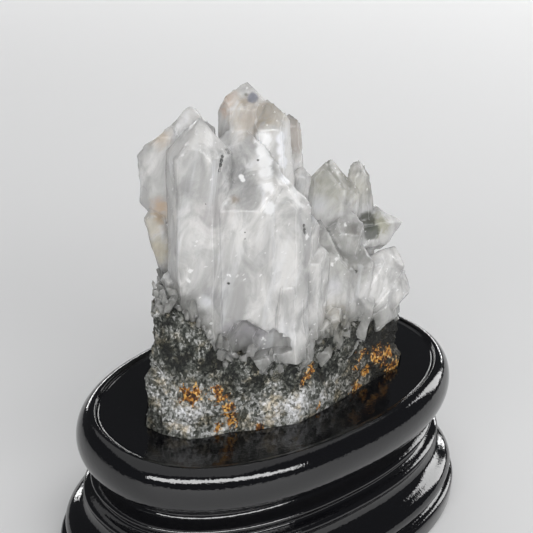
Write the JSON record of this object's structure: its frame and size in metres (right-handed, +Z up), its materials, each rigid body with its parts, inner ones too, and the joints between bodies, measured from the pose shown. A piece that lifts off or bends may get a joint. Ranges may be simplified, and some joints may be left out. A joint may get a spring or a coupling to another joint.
{
  "type": "lemurian quartz cluster",
  "caption": "Milky to clear quartz crystals in a tall wall and a leaning group on granular iron-stained rock, resting in a carved oval stand in black lacquer.",
  "frame": {"origin": "under the middle of the stand, on the surface it stands on", "axes": "+Z up, X along the stand's long axis with the tall wall of crystals at -X, -Y toward the side that the picture shows"},
  "size_m": [0.1296, 0.0854, 0.1343],
  "materials": {
    "quartz": "clear to milky, with striated faces and frosted patches",
    "rock": "rough granular rock with rusty patches",
    "lacquer": "black gloss lacquer"
  },
  "bodies": {
    "root": {"quartz_crystals": "quartz", "matrix_rock": "rock", "wooden_stand": "lacquer"}
  },
  "joints": []
}
